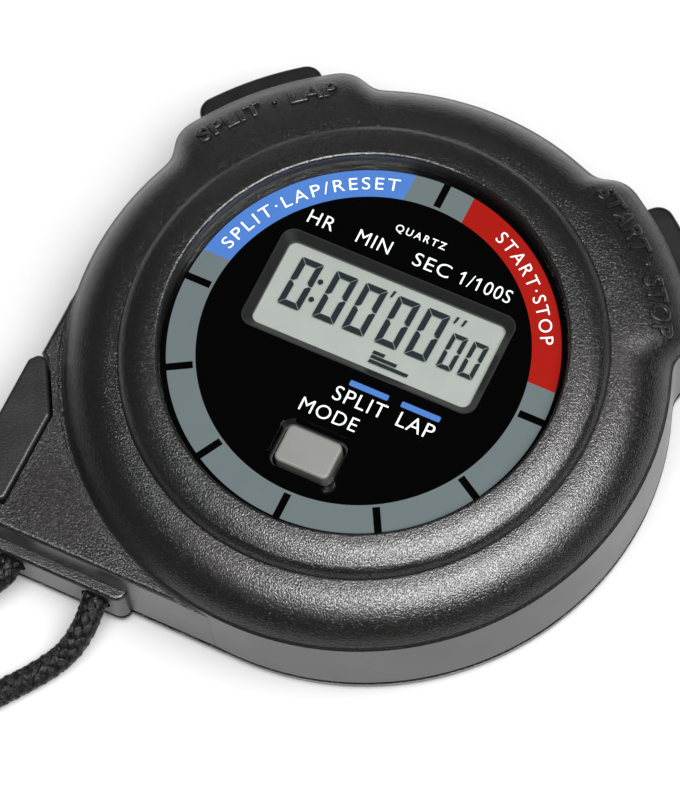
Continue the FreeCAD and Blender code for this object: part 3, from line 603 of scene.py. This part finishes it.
CASE = case_plastic()
FINISHES = {
    "case_plastic": CASE,
    "pad_plastic": plain_plastic("pad_plastic", (0.012, 0.012, 0.012), 0.32, grain=0.2, depth=0.04),
    "button_plastic": plain_plastic("button_plastic", (0.006, 0.006, 0.006), 0.3),
    "mode_cap_plastic": plain_plastic("mode_cap_plastic", (0.145, 0.145, 0.134), 0.45),
    "clear_acrylic": clear_acrylic(),
    "adhesive": plain_plastic("adhesive", (0.05, 0.05, 0.05), 0.6),
    "dial_print": ink("dial_black", (0.0008, 0.0008, 0.0008), 0.08),
    "frame_plastic": plain_plastic("frame_plastic", (0.012, 0.012, 0.012), 0.3, grain=0.2),
    "polariser_film": lcd_face(),
    "lcd_glass": glass_pane(),
    "reflector_film": metal("reflector_film", (0.7, 0.72, 0.68), 0.4),
    "connector_rubber": layered_rubber(),
    "housing_plastic": plain_plastic("housing_plastic", (0.012, 0.012, 0.012), 0.45),
    "board_laminate": board_laminate(),
    "black_resin": plain_plastic("black_resin", (0.01, 0.01, 0.01), 0.2, grain=0.8),
    "nickel_plate": metal("nickel_plate", (0.72, 0.71, 0.68), 0.22),
    "ceramic": ceramic(),
    "spring_steel": metal("spring_steel", (0.6, 0.6, 0.61), 0.3),
    "buzzer_brass": metal("buzzer_brass", (0.72, 0.55, 0.25), 0.32),
    "contact_bronze": metal("contact_bronze", (0.7, 0.45, 0.25), 0.3),
    "silicone": plain_plastic("silicone", (0.4, 0.4, 0.4), 0.65),
    "black_steel": metal("black_steel", (0.09, 0.09, 0.095), 0.35, brush=(1, 1, 6)),
    "cord_braid": cord_yarn(),
    "tie_fabric": woven_band(),
}
WHITE_INK = ink("white_ink", (0.80, 0.81, 0.80))
GREY_INK = ink("ring_grey_ink", (0.096, 0.117, 0.121))
BLUE_INK = ink("blue_ink", (0.052, 0.135, 0.375))
RED_INK = ink("red_ink", (0.245, 0.006, 0.003))
BLACK_INK = ink("tick_black_ink", (0.0008, 0.0008, 0.0009), 0.08)
SEGMENT_INK = ink("segment_dark", (0.008, 0.013, 0.016), 0.5)


def finish_nodes():
    """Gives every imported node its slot's material."""
    for part in frame["record"]["subparts"]:
        node = nodes[part["node"]]
        node.data.materials.clear()
        node.data.materials.append(FINISHES[part["material_slot"]])


finish_nodes()
braided_cord("neck_cord", FINISHES["cord_braid"])


# ---------------------------------------------------------------- printing on the dial
def on_case(thing):
    """Fixes a piece to the case."""
    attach(thing, "case")


def arc_points(radius, start, stop, step=1.5):
    """Points along an arc, at most step degrees apart."""
    count = max(2, math.ceil(abs(stop - start) / step))
    return [polar(radius, start + (stop - start) * i / count) for i in range(count + 1)]


def ring_piece(angles_in, angles_out):
    """An outline between the ring's two radii, whose ends may lean."""
    return arc_points(RING_R[0], *angles_in) + arc_points(RING_R[1], *angles_out)[::-1]


def upright_end(x):
    """Angles at the inner and outer radius where the ring crosses a line of constant x, above the centre."""
    return [math.degrees(math.acos(x / r)) for r in RING_R]


def level_end(y, left):
    """The same for a line of constant y, on the left or right."""
    angles = [math.degrees(math.asin(y / r)) for r in RING_R]
    return [180 - a if left else a for a in angles]


def print_ring():
    """The blue, red and grey parts of the ring, and the ticks over them."""
    z = DIAL_Z
    blue_top = upright_end(BLUE_LIMITS[0])
    blue_low = level_end(BLUE_LIMITS[1], True)
    red_top = upright_end(RED_LIMITS[0])
    red_low = level_end(RED_LIMITS[1], False)
    blue = ring_piece(*zip(blue_top, blue_low))
    red = ring_piece(*zip(red_low, red_top))
    grey_top = ring_piece(*zip(red_top, blue_top))
    red_round = [a + 360 for a in red_low]
    grey_left = ring_piece(*zip(blue_low, (270, 270)))
    grey_right = ring_piece(*zip((270, 270), red_round))
    on_case(plates("ring_blue_print", [blue], z, PRINT_THICKNESS, BLUE_INK))
    on_case(plates("ring_red_print", [red], z, PRINT_THICKNESS, RED_INK))
    on_case(plates("ring_grey_print", [grey_top, grey_left, grey_right], z, PRINT_THICKNESS, GREY_INK))
    ticks = []
    for angle in TICK_ANGLES:
        along = Vector(polar(1, angle))
        side = Vector((-along.y, along.x)) * TICK_WIDTH / 2
        inner, outer = [along * r for r in TICK_R]
        ticks.append([tuple(p) for p in (inner - side, outer - side, outer + side, inner + side)])
    on_case(plates("tick_print", ticks, z + PRINT_THICKNESS, PRINT_THICKNESS, BLACK_INK))


def lettering(text, weight=0.0, spacing=1.0, rounding=0.0):
    """Letters inside a unit cube: their points and faces."""
    font = bpy.data.curves.new("letters", "FONT")
    font.body = text
    font.bevel_depth = rounding
    font.bevel_resolution = 2
    font.offset = weight
    font.space_character = spacing
    font.resolution_u = 5
    font.extrude = 0.06
    holder = bpy.data.objects.new("letters", font)
    bpy.context.scene.collection.objects.link(holder)
    bpy.context.view_layer.update()
    found = bpy.data.meshes.new_from_object(holder)
    points = np.array([v.co for v in found.vertices], float)
    faces = [list(p.vertices) for p in found.polygons]
    bpy.data.objects.remove(holder)
    bpy.data.meshes.remove(found)
    bpy.data.curves.remove(font)
    low = points.min(0)
    return (points - low) / (points.max(0) - low), faces


def label(name, text, x, y, material, weight=-0.006, spacing=1.1):
    """Letters that fill a rectangle on the dial."""
    points, faces = lettering(text, weight, spacing)
    points[:, 0] = x[0] + points[:, 0] * (x[1] - x[0])
    points[:, 1] = y[0] + points[:, 1] * (y[1] - y[0])
    points[:, 2] = DIAL_Z + points[:, 2] * PRINT_THICKNESS
    on_case(clean(mesh(name, points.tolist(), faces, material)))


def arc_label(name, text, radius, angles, material):
    """Letters that stand on an arc and read clockwise from the first angle to the second."""
    points, faces = lettering(text, -0.004, 1.25)
    turn = np.radians(angles[0] + points[:, 0] * (angles[1] - angles[0]))
    reach = radius[0] + points[:, 1] * (radius[1] - radius[0])
    z = DIAL_Z + PRINT_THICKNESS * (1 + points[:, 2])
    placed = np.column_stack([reach * np.cos(turn), reach * np.sin(turn), z])
    on_case(clean(mesh(name, placed.tolist(), faces, material)))


def rounded_outline(x, y, corner, steps=6):
    """A rectangle with round corners."""
    left, right = x[0] + corner, x[1] - corner
    low, high = y[0] + corner, y[1] - corner
    outline = []
    for cx, cy, start in ((right, high, 0), (left, high, 90), (left, low, 180), (right, low, 270)):
        for i in range(steps + 1):
            dx, dy = polar(corner, start + 90 * i / steps)
            outline.append((cx + dx, cy + dy))
    return outline


def one_flag(x, y):
    """The slanted stroke at the top left of a figure one, whose stem's top left corner is at x, y."""
    return [(x + 0.02, y), (x - 0.34, y - 0.3), (x - 0.34, y - 0.47), (x + 0.02, y - 0.32)]


def print_dial():
    print_ring()
    label("hours_label", "HR", (-11.9, -8.95), UNITS_ROW, WHITE_INK)
    label("minutes_label", "MIN", (-6.2, -2.35), UNITS_ROW, WHITE_INK)
    label("seconds_label", "SEC", (0.4, 4.6), UNITS_ROW, WHITE_INK)
    label("hundredths_label", "1/100S", (6.0, 11.65), UNITS_ROW, WHITE_INK)
    flags = [one_flag(x, ONE_TOP) for x in ONE_STEMS]
    on_case(plates("ones_print", flags, DIAL_Z, PRINT_THICKNESS, WHITE_INK))
    label("quartz_label", "QUARTZ", (-2.9, 2.9), (13.5, 14.5), WHITE_INK, 0.005, 1.35)
    label("split_label", "SPLIT", (-0.6, 5.3), LAP_ROW, WHITE_INK)
    label("lap_label", "LAP", (6.75, 10.8), LAP_ROW, WHITE_INK)
    label("mode_label", "MODE", (-3.25, 3.25), MODE_ROW, WHITE_INK)
    arc_label("split_lap_reset_label", "SPLIT·LAP/RESET", ARC_ROW, (165.6, 104.0), WHITE_INK)
    arc_label("start_stop_label", "START·STOP", ARC_ROW, (67.0, 25.4), WHITE_INK)
    bars = [rounded_outline(x, BAR_ROW, 0.15) for x in ((0.4, 4.85), (6.35, 10.8))]
    on_case(plates("blue_bar_print", bars, DIAL_Z, PRINT_THICKNESS, BLUE_INK))


print_dial()


# ---------------------------------------------------------------- the display's segments
SEGMENT_GAP = 0.07
DIGIT_CLIMB = 0.03         # from one digit to the next


def nought(left, bottom, w, h, t, lean):
    """Six mitred segments, for a digit w wide, h high and t thick: two level and four upright."""
    g = SEGMENT_GAP
    m = h / 2
    top = [(g, h), (w - g, h), (w - t - g, h - t), (t + g, h - t)]
    low = [(g, 0), (t + g, t), (w - t - g, t), (w - g, 0)]
    lower_left = [(0, g), (0, m - g), (t * 0.5, m - g), (t, m - t * 0.55), (t, t + g)]
    upper_left = [(0, m + g), (0, h - g), (t, h - t - g), (t, m + t * 0.55), (t * 0.5, m + g)]
    shapes = [top, low, lower_left, upper_left]
    shapes += [[(w - x, y) for x, y in shape] for shape in (lower_left, upper_left)]
    return [[(left + x + lean * y / h, bottom + y) for x, y in shape] for shape in shapes]


def noughts(lefts, bottom, w, h, t, lean):
    """A row of noughts, each a hair higher than the last."""
    outlines = []
    for i, left in enumerate(lefts):
        outlines += nought(left, bottom + DIGIT_CLIMB * i, w, h, t, lean)
    return outlines


def dot(x, y, radius):
    """A round outline."""
    return [(x + dx, y + dy) for dx, dy in (polar(radius, a) for a in range(0, 360, 30))]


def show_digits():
    # The segments lie below the dial's face, so they stand further left and higher than they look.
    outlines = noughts((-10.95, -6.9, -3.45, 0.35, 3.8), 1.55, w=2.55, h=5.85, t=0.66, lean=0.2)
    outlines += noughts((7.45, 9.85), 1.75, w=1.75, h=4.2, t=0.47, lean=0.15)
    colon = [dot(-7.75, y, 0.3) for y in (3.3, 5.5)]
    primes = [
        [(x, 6.95), (x + 0.22, 6.95), (x + 0.42, 7.75), (x + 0.12, 7.75)] for x in (-0.3, 7.05, 7.95)
    ]
    bars = [
        [(0.78, y), (0.78 + length, y), (0.84 + length, y + 0.38), (0.84, y + 0.38)]
        for length, y in ((1.35, 0.35), (2.95, -0.17), (4.5, -0.71))
    ]
    outlines += colon + primes + bars
    segments = plates("lcd_segments", outlines, LCD_Z + SEGMENT_RISE, 0.02, SEGMENT_INK)
    on_case(segments)


show_digits()


# ---------------------------------------------------------------- raised lettering on the shoulders
def surface_of(node):
    """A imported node's faces, to look for the height of."""
    form = bmesh.new()
    form.from_mesh(nodes[node].data)
    tree = BVHTree.FromBMesh(form)
    form.free()
    return tree


def gridded(points, faces, step):
    """Cuts faces along a grid, so that letters can follow a curved surface."""
    form = bmesh.new()
    corners = [form.verts.new(p) for p in points]
    for face in faces:
        form.faces.new([corners[i] for i in face])
    bmesh.ops.remove_doubles(form, verts=form.verts, dist=1e-6)
    for axis, gap in zip((Vector((1, 0, 0)), Vector((0, 1, 0))), step):
        for i in range(1, round(1 / gap)):
            whole = form.verts[:] + form.edges[:] + form.faces[:]
            bmesh.ops.bisect_plane(form, geom=whole, plane_co=axis * i * gap, plane_no=axis, dist=1e-7)
    form.verts.index_update()
    found = np.array([v.co for v in form.verts], float), [[v.index for v in f.verts] for f in form.faces]
    form.free()
    return found


def raised_label(name, text, radius, angles, tree):
    """Raised letters on an arc, which follow the surface that they stand on."""
    points, faces = gridded(*lettering(text, -0.02, 1.12, 0.06), (0.01, 0.15))
    turn = np.radians(angles[0] + points[:, 0] * (angles[1] - angles[0]))
    reach = radius[0] + points[:, 1] * (radius[1] - radius[0])
    placed = []
    for angle, r, up in zip(turn, reach, points[:, 2]):
        x = r * math.cos(angle)
        y = r * math.sin(angle)
        hit = tree.ray_cast(Vector(mm(x, y, ABOVE_ALL)), Vector((0, 0, -1)))[0]
        placed.append((x, y, hit.z / MM - SUNK_BY + (RAISED_BY + SUNK_BY) * up))
    on_case(clean(mesh(name, placed, faces, CASE)))


top_surface = surface_of("upper_case")
raised_label("raised_split_lap", "SPLIT · LAP", RAISED_ROW, (150.5, 121.0), top_surface)
raised_label("raised_start_stop", "START · STOP", RAISED_ROW, (61.5, 27.5), top_surface)


# ---------------------------------------------------------------- floor and lights
FLOOR_SIZE = 3000
RIGHT_AZIMUTH = 35         # the direction that is to the right in the camera's view


def make_floor():
    """White paper."""
    n = Nodes("floor")
    speck = n.noise(3.0, detail=3.0)
    n.link(n.blend(speck, (0.46, 0.46, 0.46), (0.48, 0.48, 0.48)), "Base Color")
    n.set(Roughness=0.9, Emission_Strength=0.1)
    n.shader.inputs["Emission Color"].default_value = (1, 1, 1, 1)
    half = FLOOR_SIZE / 2
    corners = [(-half, -half, 0), (half, -half, 0), (half, half, 0), (-half, half, 0)]
    mesh("floor", corners, [(0, 1, 2, 3)], n.material)


def softbox(name, right, near, distance, width, height, power):
    """A rectangular light over the dial, leant right and towards the camera by these angles.

    The distance and sizes are in metres.
    """
    right = math.radians(right)
    near = math.radians(near)
    turn = Matrix.Rotation(math.radians(RIGHT_AZIMUTH), 3, "Z")
    away = turn @ Vector((math.tan(right), -math.tan(near), 1)).normalized()
    up = away.cross(turn @ Vector((1, 0, 0))).normalized()
    across = up.cross(away)
    data = bpy.data.lights.new(name, "AREA")
    data.shape = "RECTANGLE"
    data.size = width
    data.size_y = height
    data.energy = power
    light = bpy.data.objects.new(name, data)
    aimed = Matrix((across, up, away)).transposed().to_4x4()
    light.matrix_world = Matrix.Translation(away * distance) @ aimed
    bpy.context.scene.collection.objects.link(light)


def make_studio():
    world = bpy.data.worlds.new("studio")
    world.use_nodes = True
    world.node_tree.nodes["Background"].inputs["Color"].default_value = (1, 1, 1, 1)
    world.node_tree.nodes["Background"].inputs["Strength"].default_value = 0.01
    bpy.context.scene.world = world
    bpy.context.scene.view_settings.view_transform = "Standard"
    softbox("main_light", 10, 14, 1.0, 1.0, 0.66, 25)
    softbox("edge_light", -8, -60, 1.0, 0.5, 0.08, 0.3)


make_floor()
make_studio()
